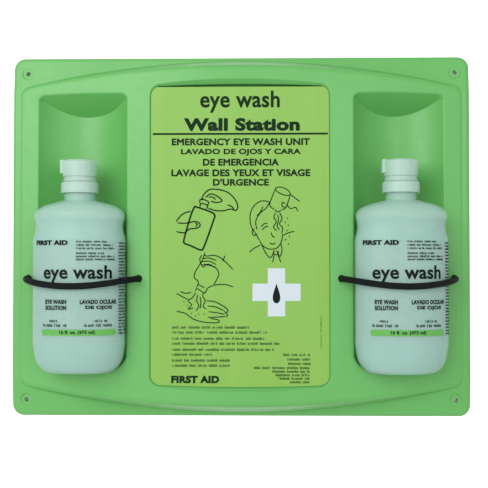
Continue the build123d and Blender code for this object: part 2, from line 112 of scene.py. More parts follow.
@dataclass
class NodeSheet:
    """Writes one material's node tree."""

    name: str
    material: bpy.types.Material = field(init=False)
    shader: bpy.types.Node = field(init=False)

    def __post_init__(self) -> None:
        """Starts the material with one Principled shader on its output."""
        self.material = bpy.data.materials.new(self.name)
        self.material.use_nodes = True
        self.shader = self.material.node_tree.nodes["Principled BSDF"]

    def add(self, kind: str, **settings: object) -> bpy.types.Node:
        """Adds a node.

        Args:
            kind: The node's type, without the leading ShaderNode.
            **settings: Attributes to set on the node.

        Returns:
            The new node.
        """
        node = self.material.node_tree.nodes.new("ShaderNode" + kind)
        for key, value in settings.items():
            setattr(node, key, value)
        return node

    def wire(self, source: Socket, target: Socket) -> None:
        """Links an output socket to an input socket."""
        self.material.node_tree.links.new(source, target)

    def place(self, scale: Colour = (1, 1, 1), source: str = "Object") -> Socket:
        """Coordinates in metres from the object, or from its UV map.

        Args:
            scale: How much each axis is stretched.
            source: The coordinate output to take.

        Returns:
            The vector socket.
        """
        coordinates = self.add("TexCoord")
        mapping = self.add("Mapping")
        mapping.inputs["Scale"].default_value = scale
        self.wire(coordinates.outputs[source], mapping.inputs["Vector"])
        return mapping.outputs["Vector"]

    def noise(self, per_metre: float, detail: float = 3, rough: float = 0.5,
              where: Socket | None = None) -> Socket:
        """A noise pattern.

        Args:
            per_metre: Its scale, in features to the metre.
            detail: Number of finer layers.
            rough: How strong the finer layers are.
            where: Coordinates, or the object's own.

        Returns:
            The factor socket.
        """
        node = self.add("TexNoise")
        node.inputs["Scale"].default_value = per_metre
        node.inputs["Detail"].default_value = detail
        node.inputs["Roughness"].default_value = rough
        self.wire(where or self.place(), node.inputs["Vector"])
        return node.outputs["Fac"]

    def remap(self, value: Socket, low: float, high: float, to_low: float = 0,
              to_high: float = 1) -> Socket:
        """Maps a value from one range onto another, held inside it.

        Args:
            value: The value.
            low: Where its range starts.
            high: Where its range ends.
            to_low: Result at the start.
            to_high: Result at the end.

        Returns:
            The result's socket.
        """
        node = self.add("MapRange")
        for key, number in zip(("From Min", "From Max", "To Min", "To Max"),
                               (low, high, to_low, to_high)):
            node.inputs[key].default_value = number
        self.wire(value, node.inputs["Value"])
        return node.outputs["Result"]

    def blend(self, share: Socket, first: Colour | Socket, second: Colour | Socket) -> Socket:
        """Mixes two colours.

        Args:
            share: How much of the second colour.
            first: The colour at share 0.
            second: The colour at share 1.

        Returns:
            The mixed colour's socket.
        """
        node = self.add("Mix", data_type="RGBA")
        self.wire(share, node.inputs["Factor"])
        sockets = [s for s in node.inputs if s.type == "RGBA"]
        for socket, colour in zip(sockets, (first, second)):
            if isinstance(colour, tuple):
                socket.default_value = (*colour, 1)
            else:
                self.wire(colour, socket)
        return next(s for s in node.outputs if s.type == "RGBA")

    def sums(self, operation: str, first: Socket | float, second: Socket | float) -> Socket:
        """One Math node on two values.

        Args:
            operation: The node's operation.
            first: Its first value.
            second: Its second value.

        Returns:
            The result's socket.
        """
        node = self.add("Math", operation=operation)
        for socket, value in zip(node.inputs, (first, second)):
            if isinstance(value, (int, float)):
                socket.default_value = value
            else:
                self.wire(value, socket)
        return node.outputs[0]

    def bump(self, height: Socket, strength: float, depth: float,
             under: Socket | None = None) -> Socket:
        """A bump, on top of another one or on the bare surface.

        Args:
            height: The relief's height, 0 to 1.
            strength: How strongly it shows.
            depth: What a height of 1 is in metres.
            under: The normal that it lies on.

        Returns:
            The normal's socket.
        """
        node = self.add("Bump")
        node.inputs["Strength"].default_value = strength
        node.inputs["Distance"].default_value = depth
        self.wire(height, node.inputs["Height"])
        if under is not None:
            self.wire(under, node.inputs["Normal"])
        return node.outputs["Normal"]

    def set(self, **values: float | Colour | Socket) -> None:
        """Sets or links inputs of the shader.

        Args:
            **values: A number, colour or socket for each input; underscores stand for spaces.
        """
        for key, value in values.items():
            socket = self.shader.inputs[key.replace("_", " ")]
            if isinstance(value, tuple):
                socket.default_value = (*value, 1)
            elif isinstance(value, (int, float)):
                socket.default_value = value
            else:
                self.wire(value, socket)


# --- Finishes --------------------------------------------------------------------------------


@dataclass(frozen=True)
class Finish:
    """A finish that a piece can wear."""

    name: str

    def material(self) -> bpy.types.Material:
        """The finish's material, made once.

        Returns:
            The material.
        """
        made = bpy.data.materials.get(self.name)
        if made is None:
            sheet = NodeSheet(self.name)
            self.write(sheet)
            made = sheet.material
        return made

    def write(self, sheet: NodeSheet) -> None:
        """Writes the finish into a node tree."""
        raise NotImplementedError


@dataclass(frozen=True)
class MouldedSheet(Finish):
    """Thermoformed coloured plastic: slight mottle, fine grain, scuffs that catch the light."""

    colour: Colour
    paler: Colour
    grain_per_metre: float = 2600
    roughness: float = 0.42

    def write(self, sheet: NodeSheet) -> None:
        """Mottle at two sizes, a leathery grain and long soft flow marks.

        Args:
            sheet: The material's node tree.
        """
        mottle = sheet.noise(9, 4, 0.6)
        cloud = sheet.remap(mottle, 0.3, 0.7)
        fine = sheet.noise(140, 3, 0.55)
        scuffs = sheet.noise(55, 5, 0.7, sheet.place((1, 1, 0.25)))
        worn = sheet.remap(scuffs, 0.62, 0.78, 0, 0.35)
        base = sheet.blend(cloud, self.colour, self.paler)
        base = sheet.blend(worn, base, self.paler)
        spread = sheet.remap(fine, 0.2, 0.8, self.roughness - 0.07, self.roughness + 0.07)
        grain = sheet.bump(sheet.noise(self.grain_per_metre, 2, 0.5), 0.16, 0.00012)
        waves = sheet.bump(sheet.noise(28, 2, 0.4), 0.25, 0.0004, grain)
        sheet.set(Base_Color=base, Roughness=spread, Normal=waves, IOR=1.5)
        sheet.set(Specular_IOR_Level=0.6)


@dataclass(frozen=True)
class PrintedPlate(Finish):
    """A screen-printed plate: an even coat with a fine dry grain and faint squeegee streaks."""

    colour: Colour
    deeper: Colour

    def write(self, sheet: NodeSheet) -> None:
        """Fine grain, streaks along Z and a little mottle.

        Args:
            sheet: The material's node tree.
        """
        streaks = sheet.noise(60, 4, 0.6, sheet.place((1, 1, 0.05)))
        speckle = sheet.noise(1800, 2, 0.6)
        cloud = sheet.noise(12, 3, 0.5)
        tone = sheet.blend(sheet.remap(streaks, 0.3, 0.75), self.colour, self.deeper)
        tone = sheet.blend(sheet.remap(speckle, 0.55, 0.8, 0, 0.25), tone, self.deeper)
        spread = sheet.remap(cloud, 0.3, 0.7, 0.38, 0.5)
        sheet.set(Base_Color=tone, Roughness=spread, IOR=1.48)
        sheet.set(Normal=sheet.bump(speckle, 0.1, 0.00005))


@dataclass(frozen=True)
class MilkyPlastic(Finish):
    """Natural polyethylene or polypropylene: pale, waxy and partly see-through."""

    colour: Colour
    cloudier: Colour
    alpha: float
    roughness: float = 0.36

    def write(self, sheet: NodeSheet) -> None:
        """Cloudy tone, flow streaks and a waxy, slightly rippled face.

        Args:
            sheet: The material's node tree.
        """
        cloud = sheet.noise(24, 4, 0.55)
        flow = sheet.noise(40, 3, 0.5, sheet.place((1, 1, 0.12)))
        tone = sheet.blend(sheet.remap(cloud, 0.3, 0.7), self.colour, self.cloudier)
        tone = sheet.blend(sheet.remap(flow, 0.5, 0.8, 0, 0.4), tone, self.cloudier)
        spread = sheet.remap(flow, 0.25, 0.75, self.roughness - 0.04, self.roughness + 0.06)
        ripple = sheet.bump(sheet.noise(70, 2, 0.4), 0.2, 0.0002)
        skin = sheet.bump(sheet.noise(2400, 2, 0.5), 0.08, 0.00004, ripple)
        sheet.set(Base_Color=tone, Roughness=spread, Normal=skin, Alpha=self.alpha)
        sheet.set(IOR=1.5, Specular_IOR_Level=0.5, Sheen_Weight=0.35, Sheen_Roughness=0.35)
        sheet.set(Sheen_Tint=(0.75, 1.0, 0.85))


@dataclass(frozen=True)
class ClearLiquid(Finish):
    """The saline: a faint cool tint that lets most of what is behind show."""

    colour: Colour
    alpha: float

    def write(self, sheet: NodeSheet) -> None:
        """A smooth surface with hardly any variation.

        Args:
            sheet: The material's node tree.
        """
        cloud = sheet.noise(14, 2, 0.4)
        tone = sheet.blend(cloud, self.colour, tuple(0.93 * c for c in self.colour))
        sheet.set(Base_Color=tone, Roughness=sheet.remap(cloud, 0, 1, 0.04, 0.1))
        sheet.set(Alpha=self.alpha, IOR=1.33)


@dataclass(frozen=True)
class ClearFilm(Finish):
    """The label's film: nearly invisible, seen by its gloss and its edge."""

    colour: Colour
    alpha: float

    def write(self, sheet: NodeSheet) -> None:
        """Gloss with shallow waves from how the film was laid on.

        Args:
            sheet: The material's node tree.
        """
        waves = sheet.noise(45, 2, 0.4)
        dust = sheet.noise(900, 2, 0.6)
        tone = sheet.blend(sheet.remap(dust, 0.5, 0.8, 0, 0.3), self.colour, (1.0, 1.0, 1.0))
        sheet.set(Base_Color=tone, Roughness=sheet.remap(waves, 0.2, 0.8, 0.16, 0.28))
        sheet.set(Alpha=self.alpha, Normal=sheet.bump(waves, 0.3, 0.0002), IOR=1.45)


@dataclass(frozen=True)
class Ink(Finish):
    """Printed ink: even, slightly uneven in density, a little dry."""

    colour: Colour
    thin: Colour

    def write(self, sheet: NodeSheet) -> None:
        """Density that varies at the scale of the print's pinholes.

        Args:
            sheet: The material's node tree.
        """
        density = sheet.noise(1400, 3, 0.6)
        tone = sheet.blend(sheet.remap(density, 0.45, 0.8, 0, 0.5), self.colour, self.thin)
        sheet.set(Base_Color=tone, Roughness=sheet.remap(density, 0.3, 0.7, 0.45, 0.6))
        sheet.set(Normal=sheet.bump(density, 0.1, 0.00003), Specular_IOR_Level=0.12)


@dataclass(frozen=True)
class BraidedElastic(Finish):
    """Black braided elastic: fine yarns along the UV map, with a soft dry sheen."""

    colour: Colour
    highlight: Colour
    yarns_round: float = 48
    yarns_along: float = 900

    def write(self, sheet: NodeSheet) -> None:
        """Yarn lines both ways round the tube, fuzz and a little lint.

        Args:
            sheet: The material's node tree.
        """
        where = sheet.place((self.yarns_round, self.yarns_along, 1), "UV")
        yarn = sheet.add("TexWave", wave_type="BANDS", bands_direction="DIAGONAL")
        yarn.inputs["Scale"].default_value = 0.5
        yarn.inputs["Distortion"].default_value = 1.5
        yarn.inputs["Detail"].default_value = 2
        sheet.wire(where, yarn.inputs["Vector"])
        fuzz = sheet.noise(3500, 3, 0.7)
        lint = sheet.remap(sheet.noise(700, 4, 0.7), 0.66, 0.8, 0, 0.5)
        share = sheet.remap(yarn.outputs["Fac"], 0.2, 1, 0, 0.6)
        tone = sheet.blend(lint, sheet.blend(share, self.colour, self.highlight), self.highlight)
        relief = sheet.bump(yarn.outputs["Fac"], 0.5, 0.0002)
        sheet.set(Base_Color=tone, Roughness=sheet.remap(fuzz, 0.2, 0.8, 0.6, 0.85))
        sheet.set(Normal=sheet.bump(fuzz, 0.35, 0.00012, relief), Specular_IOR_Level=0.15)


@dataclass(frozen=True)
class SoftFoam(Finish):
    """Closed-cell foam or a soft seal."""

    colour: Colour
    pore_shade: Colour

    def write(self, sheet: NodeSheet) -> None:
        """Small round cells in height, darkened in the low middle of each: painted shade.

        Args:
            sheet: The material's node tree.
        """
        cells = sheet.add("TexVoronoi")
        cells.inputs["Scale"].default_value = 1500
        sheet.wire(sheet.place(), cells.inputs["Vector"])
        depth = sheet.remap(cells.outputs["Distance"], 0, 0.6)
        # Painted shade: the low middle of each cell is darkened towards the second, darker colour.
        sheet.set(Base_Color=sheet.blend(depth, self.pore_shade, self.colour))
        sheet.set(Roughness=sheet.remap(depth, 0, 1, 0.9, 0.7))
        sheet.set(Normal=sheet.bump(depth, 0.3, 0.0001))


PANEL_PLASTIC = MouldedSheet("panel_green", linear(89, 167, 81), linear(96, 172, 88))
PLATE_PRINT = PrintedPlate("placard_yellow_green", linear(128, 176, 74), linear(123, 172, 70))
BOTTLE_PLASTIC = MilkyPlastic("bottle_milky", linear(196, 232, 222), linear(190, 228, 216), 0.36)
CLOSURE_PLASTIC = MilkyPlastic("closure_milky", linear(192, 222, 209), linear(184, 216, 203), 0.62)
SALINE = ClearLiquid("saline_clear", linear(78, 162, 142), 0.74)
LABEL_FILM = ClearFilm("label_clear", linear(190, 216, 208), 0.1)
GREEN_INK = Ink("ink_dark_green", linear(8, 38, 16), linear(22, 58, 26))
BLACK_INK = Ink("ink_black", linear(6, 20, 20), linear(20, 38, 36))
BAND_INK = Ink("ink_band_green", linear(98, 168, 82), linear(108, 178, 94))
WHITE_INK = Ink("ink_white", linear(196, 208, 214), linear(184, 198, 204))
ELASTIC = BraidedElastic("elastic_black", linear(8, 12, 12), linear(27, 35, 34))
FOAM = SoftFoam("foam_white", linear(216, 220, 216), linear(186, 190, 188))
RUBBER_SEAL = SoftFoam("seal_grey", linear(190, 194, 192), linear(168, 172, 170))


# --- Meshes ----------------------------------------------------------------------------------


def make_piece(name: str, points: np.ndarray, faces: list, finish: Finish,
               uv: np.ndarray | None = None, smooth: bool = True) -> bpy.types.Object:
    """Makes an object from arrays.

    Args:
        name: The piece's name.
        points: Vertices, shape (n, 3), in metres.
        faces: Vertex indices of each face.
        finish: What it wears.
        uv: One pair for each vertex, or None.
        smooth: True for smooth shading.

    Returns:
        The object, linked to the scene.
    """
    mesh = bpy.data.meshes.new(name)
    mesh.from_pydata(points.tolist(), [], faces)
    if uv is not None:
        corner = np.empty(len(mesh.loops), dtype=np.int32)
        mesh.loops.foreach_get("vertex_index", corner)
        layer = mesh.uv_layers.new(name="UVMap")
        layer.data.foreach_set("uv", uv[corner].astype(np.float32).ravel())
    mesh.polygons.foreach_set("use_smooth", np.full(len(mesh.polygons), smooth))
    mesh.update()
    piece = bpy.data.objects.new(name, mesh)
    bpy.context.scene.collection.objects.link(piece)
    piece.data.materials.append(finish.material())
    LOG.info("%s: %d faces", name, len(mesh.polygons))
    return piece


def corners_of(mesh: bpy.types.Mesh) -> np.ndarray:
    """The places of a mesh's vertices, shape (n, 3)."""
    flat = np.empty(3 * len(mesh.vertices))
    mesh.vertices.foreach_get("co", flat)
    return flat.reshape(-1, 3)


def grid_faces(rows: int, columns: int, closed_rows: bool = False) -> np.ndarray:
    """Quads of a grid whose columns wrap round.

    Args:
        rows: Number of rings.
        columns: Points on a ring.
        closed_rows: True if the last ring joins the first.

    Returns:
        Vertex indices, shape (faces, 4).
    """
    row = np.arange(rows if closed_rows else rows - 1)[:, None]
    column = np.arange(columns)[None, :]
    after = (row + 1) % rows
    beside = (column + 1) % columns
    corners = [row * columns + column, row * columns + beside,
               after * columns + beside, after * columns + column]
    return np.stack([np.broadcast_to(c, (len(row), columns)) for c in corners], -1).reshape(-1, 4)


def smooth_line(points: np.ndarray, each: int, closed: bool = False) -> np.ndarray:
    """A smooth curve through points, by the Catmull-Rom formula.

    Between two points the place is a cubic whose ends have half the slope of the line from
    the point before to the point after.

    Args:
        points: Corners, shape (n, k).
        each: New points for each stretch.
        closed: True for a loop.

    Returns:
        The new points.
    """
    if closed:
        padded = np.concatenate([points[-1:], points, points[:2]])
    else:
        first = 2 * points[:1] - points[1:2]
        last = 2 * points[-1:] - points[-2:-1]
        padded = np.concatenate([first, points, last])
    p0, p1, p2, p3 = padded[:-3], padded[1:-2], padded[2:-1], padded[3:]
    t = (np.arange(each) / each)[None, :, None]
    a, b, c, d = (p[:, None, :] for p in (p0, p1, p2, p3))
    line = 0.5 * (2 * b + (c - a) * t + (2 * a - 5 * b + 4 * c - d) * t**2
                  + (3 * b - a - 3 * c + d) * t**3)
    line = line.reshape(-1, points.shape[1])
    return line if closed else np.concatenate([line, points[-1:]])


@dataclass
class FlatFace:
    """A plane that faces -Y. Its u runs along X and its v along Z."""

    y: float
    curved: bool = False

    def place(self, u: np.ndarray, v: np.ndarray, lift: np.ndarray) -> np.ndarray:
        """Points on the plane, lifted off it.

        Args:
            u: Places along X.
            v: Places along Z.
            lift: Heights over the plane.

        Returns:
            Points in metres, shape (n, 3).
        """
        return np.stack([u, self.y - lift, v], -1)


@dataclass
class OvalFace:
    """The upright side of an oval bottle. Its u is the length round it from the front."""

    x: float
    y: float
    half_width: float
    half_depth: float
    curved: bool = True

    def __post_init__(self) -> None:
        """Adds up the oval's length, as the root of the squares of its two speeds."""
        self.turn = np.linspace(-math.pi, math.pi, 2881)
        speed = np.hypot(self.half_width * np.cos(self.turn), self.half_depth * np.sin(self.turn))
        steps = (speed[1:] + speed[:-1]) / 2 * np.diff(self.turn)
        length = np.concatenate([[0], np.cumsum(steps)])
        self.length = length - length[len(length) // 2]

    def round_from(self, across: float) -> float:
        """The length round the front at a place across it.

        Args:
            across: Distance from the axis along X.

        Returns:
            The length from the front's middle.
        """
        turn = math.asin(max(-1.0, min(1.0, across / self.half_width)))
        return float(np.interp(turn, self.turn, self.length))

    def place(self, u: np.ndarray, v: np.ndarray, lift: np.ndarray) -> np.ndarray:
        """Points on the oval: its sine across and its cosine forward, lifted along its normal.

        Args:
            u: Lengths round the oval from its front.
            v: Heights along Z.
            lift: Heights over the oval.

        Returns:
            Points in metres, shape (n, 3).
        """
        turn = np.interp(u, self.length, self.turn)
        normal = np.stack([np.sin(turn) / self.half_width, -np.cos(turn) / self.half_depth], -1)
        normal /= np.linalg.norm(normal, axis=-1, keepdims=True)
        x = self.x + self.half_width * np.sin(turn) + normal[..., 0] * lift
        y = self.y - self.half_depth * np.cos(turn) + normal[..., 1] * lift
        return np.stack([x, y, v], -1)


@dataclass
class Print:
    """Ink on a face, gathered into one piece of thin closed solids."""

    name: str
    face: FlatFace | OvalFace
    finish: Finish
    slot: Slot
    body: str
    lift: float = 0.00003
    thickness: float = 0.00007
    points: list = field(default_factory=list)
    faces: list = field(default_factory=list)
    count: int = 0

    def keep(self, flat: np.ndarray, faces: list[np.ndarray]) -> None:
        """Adds a closed solid.

        Args:
            flat: Its vertices as (u, v, height share), shape (n, 3).
            faces: Vertex indices, each array for one face or with a row for each face.
        """
        self.points.append(flat)
        self.faces += [rows + self.count for rows in faces]
        self.count += len(flat)

    def slabs(self, boxes: np.ndarray) -> None:
        """Adds rectangles.

        Args:
            boxes: Each one's low u, high u, low v and high v, shape (n, 4).
        """
        pick = np.array([(0, 2), (1, 2), (1, 3), (0, 3)])
        flat = np.stack([boxes[:, pick[:, 0]], boxes[:, pick[:, 1]]], -1)
        low = np.concatenate([flat, np.zeros((*flat.shape[:2], 1))], -1)
        high = np.concatenate([flat, np.ones((*flat.shape[:2], 1))], -1)
        corners = np.concatenate([low, high], 1).reshape(-1, 3)
        one = np.array([(4, 5, 6, 7), (3, 2, 1, 0), (0, 1, 5, 4), (1, 2, 6, 5), (2, 3, 7, 6),
                        (3, 0, 4, 7)])
        faces = (one[None] + 8 * np.arange(len(boxes))[:, None, None]).reshape(-1, 4)
        self.keep(corners, [faces])

    def band(self, low_u: float, high_u: float, low_v: float, high_v: float,
             steps: int = 40) -> None:
        """Adds a long rectangle in even steps, so that it follows a curved face.

        Args:
            low_u: Where it starts.
            high_u: Where it ends.
            low_v: Its foot.
            high_v: Its top.
            steps: Number of steps.
        """
        u = np.linspace(low_u, high_u, steps + 1)
        self.ribbon(np.stack([u, np.full_like(u, (low_v + high_v) / 2)], -1),
                    high_v - low_v, blunt=True)

    def ribbon(self, line: np.ndarray, width: float, blunt: bool = False,
               closed: bool = False) -> None:
        """Adds a line of a given width.

        Each cross-section is a box across the line. At a round end the width falls as the
        height of a half circle does.

        Args:
            line: Points of the centreline, shape (n, 2).
            width: Full width.
            blunt: True for square ends.
            closed: True for a loop.
        """
        if closed:
            ahead = np.roll(line, -1, 0) - np.roll(line, 1, 0)
        else:
            ahead = np.gradient(line, axis=0)
        ahead /= np.linalg.norm(ahead, axis=-1, keepdims=True) + 1e-12
        across = np.stack([-ahead[:, 1], ahead[:, 0]], -1)
        half = np.full(len(line), width / 2)
        if not blunt and not closed:
            steps = np.linalg.norm(np.diff(line, axis=0), axis=-1)
            run = np.concatenate([[0], np.cumsum(steps)])
            to_end = np.minimum(run, run[-1] - run) / (width / 2)
            half *= np.sqrt(np.clip(1 - (1 - np.clip(to_end, 0, 1)) ** 2, 0.02, 1))
        sides = [line - across * half[:, None], line + across * half[:, None]]
        ring = [np.concatenate([side, np.full((len(line), 1), height)], -1)
                for height, side in ((0, sides[0]), (1, sides[0]), (1, sides[1]), (0, sides[1]))]
        flat = np.stack(ring, 1).reshape(-1, 3)
        faces = grid_faces(len(line), 4, closed)
        if not closed:
            first_end = np.arange(4)
            last_end = first_end + 4 * (len(line) - 1)
            faces = np.concatenate([faces, [first_end[::-1], last_end]])
        self.keep(flat, [faces[:, ::-1]])

    def drawing(self, strokes: list, width: float, each: int = 6) -> None:
        """Adds smooth strokes.

        Args:
            strokes: Lists of points in millimetres; a list that ends where it starts is a loop.
            width: Width of the pen, in metres.
            each: New points between two of the list.
        """
        for stroke in strokes:
            closed = stroke[0] == stroke[-1]
            corners = np.array(stroke[:-1] if closed else stroke) * MM
            self.ribbon(smooth_line(corners, each, closed), width, closed=closed)

    def outline(self, corners: np.ndarray) -> None:
        """Adds a filled shape.

        Args:
            corners: Its outline, anticlockwise, shape (n, 2).
        """
        n = len(corners)
        low = np.concatenate([corners, np.zeros((n, 1))], -1)
        high = np.concatenate([corners, np.ones((n, 1))], -1)
        one = np.arange(n)
        beside = (one + 1) % n
        sides = np.stack([one, beside, n + beside, n + one], -1)
        self.keep(np.concatenate([low, high]), [sides, one + n, one[::-1]])

    def dots(self, centres: list, across: float, tall: float) -> None:
        """Adds small upright ovals.

        Args:
            centres: Their middles, in millimetres.
            across: Half width, in millimetres.
            tall: Height over width.
        """
        turn = np.linspace(0, 2 * math.pi, 10, endpoint=False)
        oval = np.stack([np.cos(turn), tall * np.sin(turn)], -1) * across * MM
        for centre in np.array(centres) * MM:
            self.outline(centre + oval)

    def letters(self, words: str, low_u: float, high_u: float, low_v: float, high_v: float,
                weight: float) -> None:
        """Adds words in the plain built-in typeface, fitted to a box.

        Args:
            words: What to write.
            low_u: The box's low u, and so on for the other three.
            high_u: High u.
            low_v: Low v.
            high_v: High v.
            weight: How much bolder than the typeface.
        """
        curve = bpy.data.curves.new("letters", "FONT")
        curve.body = words
        curve.bevel_depth = weight
        curve.bevel_resolution = 0
        curve.space_character = 1 + 1.2 * weight
        curve.resolution_u = 4
        curve.extrude = 0.05
        curve.fill_mode = "BOTH"
        holder = bpy.data.objects.new("letters", curve)
        bpy.context.scene.collection.objects.link(holder)
        graph = bpy.context.evaluated_depsgraph_get()
        mesh = bpy.data.meshes.new_from_object(holder.evaluated_get(graph))
        shape = bmesh.new()
        shape.from_mesh(mesh)
        bmesh.ops.remove_doubles(shape, verts=shape.verts, dist=LETTER_WELD)
        if self.face.curved:
            shape.to_mesh(mesh)
            across = corners_of(mesh)[:, 0]
            for cut in np.arange(across.min(), across.max(), LETTER_CUT)[1:]:
                parts = shape.verts[:] + shape.edges[:] + shape.faces[:]
                bmesh.ops.bisect_plane(shape, geom=parts, plane_co=(cut, 0, 0),
                                       plane_no=(1, 0, 0))
        shape.to_mesh(mesh)
        shape.free()
        flat = corners_of(mesh)
        low, high = flat.min(0), flat.max(0)
        share = (flat - low) / (high - low)
        flat = np.stack([low_u + share[:, 0] * (high_u - low_u),
                         low_v + share[:, 1] * (high_v - low_v), flat[:, 2] > 0], -1)
        corner = np.empty(len(mesh.loops), dtype=np.int32)
        mesh.loops.foreach_get("vertex_index", corner)
        starts = np.empty(len(mesh.polygons), dtype=np.int32)
        mesh.polygons.foreach_get("loop_start", starts)
        self.keep(flat, np.split(corner, starts[1:]))
        bpy.data.objects.remove(holder)
        bpy.data.curves.remove(curve)
        bpy.data.meshes.remove(mesh)

    def small_type(self, chance: np.random.Generator, low_u: float, high_u: float, low_v: float,
                   height: float) -> None:
        """Adds a line of unreadable small type: words of invented letters made of strokes.

        Every letter is a stem, and by chance a second stem, a bar at its top and a bar at its
        foot; some stems rise above the rest.

        Args:
            chance: The seeded source of chance.
            low_u: Where the line starts.
            high_u: Where it ends.
            low_v: Its foot.
            height: Height of a tall letter.
        """
        pitch = 0.62 * height
        count = max(2, int((high_u - low_u) / pitch))
        places = np.arange(count)
        word_ends = np.cumsum(chance.integers(4, 10, count))
        spots = low_u + pitch * places[~np.isin(places, word_ends)]
        total = len(spots)
        pen = 0.17 * height
        wide = 0.48 * height
        low_top = low_v + 0.72 * height
        tall = chance.random(total) < 0.3
        top = np.where(tall, low_v + height, low_top)
        foot = np.full(total, low_v)
        level = np.full(total, low_top)
        second = chance.random(total) < 0.85
        above = chance.random(total) < 0.7
        below = chance.random(total) < 0.6
        stems = np.stack([spots, spots + pen, foot, top], -1)
        others = np.stack([spots + wide - pen, spots + wide, foot, level], -1)[second]
        bars = np.stack([spots + pen, spots + wide - pen, level - pen, level], -1)[above]
        feet = np.stack([spots + pen, spots + wide - pen, foot, foot + pen], -1)[below]
        self.slabs(np.concatenate([stems, others, bars, feet]))

    def make(self) -> bpy.types.Object:
        """Puts the ink on its face and on its body.

        Returns:
            The finished piece.
        """
        flat = np.concatenate(self.points)
        lift = self.lift + flat[:, 2] * self.thickness
        points = self.face.place(flat[:, 0], flat[:, 1], lift)
        faces = [face for rows in self.faces for face in np.atleast_2d(rows).tolist()]
        piece = make_piece(self.name, points, faces, self.finish, smooth=False)
        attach(piece, self.body)
        return piece


# --- Studio ----------------------------------------------------------------------------------


def aim(thing: bpy.types.Object, eye: Place, target: Place) -> None:
    """Adds a camera or lamp to the scene and points it at something.

    It is tilted by the angle of the line of sight over the floor, then turned about Z.

    Args:
        thing: The camera or lamp.
        eye: Where it stands.
        target: The point that it faces.
    """
    bpy.context.scene.collection.objects.link(thing)
    thing.location = eye
    ahead = np.array(target) - np.array(eye)
    tilt = math.atan2(ahead[2], math.hypot(ahead[0], ahead[1]))
    turn = math.atan2(-ahead[0], ahead[1])
    thing.rotation_euler = (math.pi / 2 + tilt, 0, turn)


@dataclass
class Studio:
    """The camera, the lights and a pale sweep behind and below the station."""

    eye: Place = (0.0228, -0.9443, -0.0290)
    target: Place = (0.0031, 0.0, -0.0073)
    lens: float = 70.4
    sensor: float = 36
    lit: Place = (0.0, -0.03, 0.0)
    daylight: float = 0.74
    floor_z: float = -1.1
    sweep_y: float = 2.6
    sweep_radius: float = 0.9
    sweep_reach: float = 3.5
    sweep_height: float = 3.4
    glow_from: float = 0.5
    glow_to: float = 1.9
    glow: float = 0.75

    def camera(self) -> None:
        """Sets the camera a little below the middle, looking slightly up."""
        lens = bpy.data.cameras.new("camera")
        lens.lens = self.lens
        lens.sensor_width = self.sensor
        camera = bpy.data.objects.new("camera", lens)
        aim(camera, self.eye, self.target)
        bpy.context.scene.camera = camera

    def lamp(self, name: str, place: Place, size: float, power: float) -> None:
        """Adds a soft, white, square lamp that points at the station.

        Args:
            name: The lamp's name.
            place: Where it hangs.
            size: Side of the square.
            power: In watts.
        """
        data = bpy.data.lights.new(name, "AREA")
        data.shape = "SQUARE"
        data.size = size
        data.energy = power
        aim(bpy.data.objects.new(name, data), place, self.lit)

    def sweep(self) -> None:
        """A floor that curves up into a backdrop: a line, a quarter circle and a line. Towards the
        rear it is painted paler and glows: painted light.
        """
        turn = np.linspace(0, math.pi / 2, 25)
        r = self.sweep_radius
        y = np.concatenate([[-self.sweep_reach], self.sweep_y - r + r * np.sin(turn),
                            [self.sweep_y]])
        z = np.concatenate([[0], r - r * np.cos(turn), [self.sweep_height]]) + self.floor_z
        x = np.array([-self.sweep_reach, self.sweep_reach])
        points = np.stack([np.repeat(x, len(y)), np.tile(y, 2), np.tile(z, 2)], -1)
        i = np.arange(len(y) - 1)
        faces = np.stack([i, len(y) + i, len(y) + i + 1, i + 1], -1).tolist()
        mesh = bpy.data.meshes.new("sweep")
        mesh.from_pydata(points.tolist(), [], faces)
        mesh.polygons.foreach_set("use_smooth", np.full(len(faces), True))
        backdrop = bpy.data.objects.new("sweep", mesh)
        bpy.context.scene.collection.objects.link(backdrop)
        sheet = NodeSheet("sweep_white")
        grain = sheet.noise(3, 3, 0.5)
        split = sheet.add("SeparateXYZ")
        sheet.wire(sheet.place(), split.inputs[0])
        # Painted light: further back along Y, from glow_from to glow_to, the sweep is painted
        # paler and made to glow.
        rear_glow = sheet.remap(split.outputs["Y"], self.glow_from, self.glow_to)
        pale = sheet.blend(grain, (0.82, 0.82, 0.82), (0.86, 0.86, 0.86))
        sheet.set(Base_Color=sheet.blend(rear_glow, pale, (0.94, 0.94, 0.94)))
        sheet.set(Roughness=0.9, Specular_IOR_Level=0.1)
        sheet.set(Emission_Color=(1.0, 1.0, 1.0))
        sheet.set(Emission_Strength=sheet.sums("MULTIPLY", rear_glow, self.glow))
        mesh.materials.append(sheet.material)

    def light(self) -> None:
        """Even light from all round, a broad key lamp at the left and a weak one at the right."""
        world = bpy.data.worlds.new("studio")
        world.use_nodes = True
        background = world.node_tree.nodes["Background"]
        background.inputs["Color"].default_value = (1, 1, 1, 1)
        background.inputs["Strength"].default_value = self.daylight
        bpy.context.scene.world = world
        self.lamp("key", (-0.75, -1.3, 0.5), 1.1, 13.5)
        self.lamp("fill", (0.6, -1.6, 0.3), 0.7, 4)
        bpy.context.scene.view_settings.view_transform = "Standard"

    def build(self) -> None:
        """Sets up the camera, the sweep and the lamps."""
        self.camera()
        self.sweep()
        self.light()


# --- Elastic cords ---------------------------------------------------------------------------


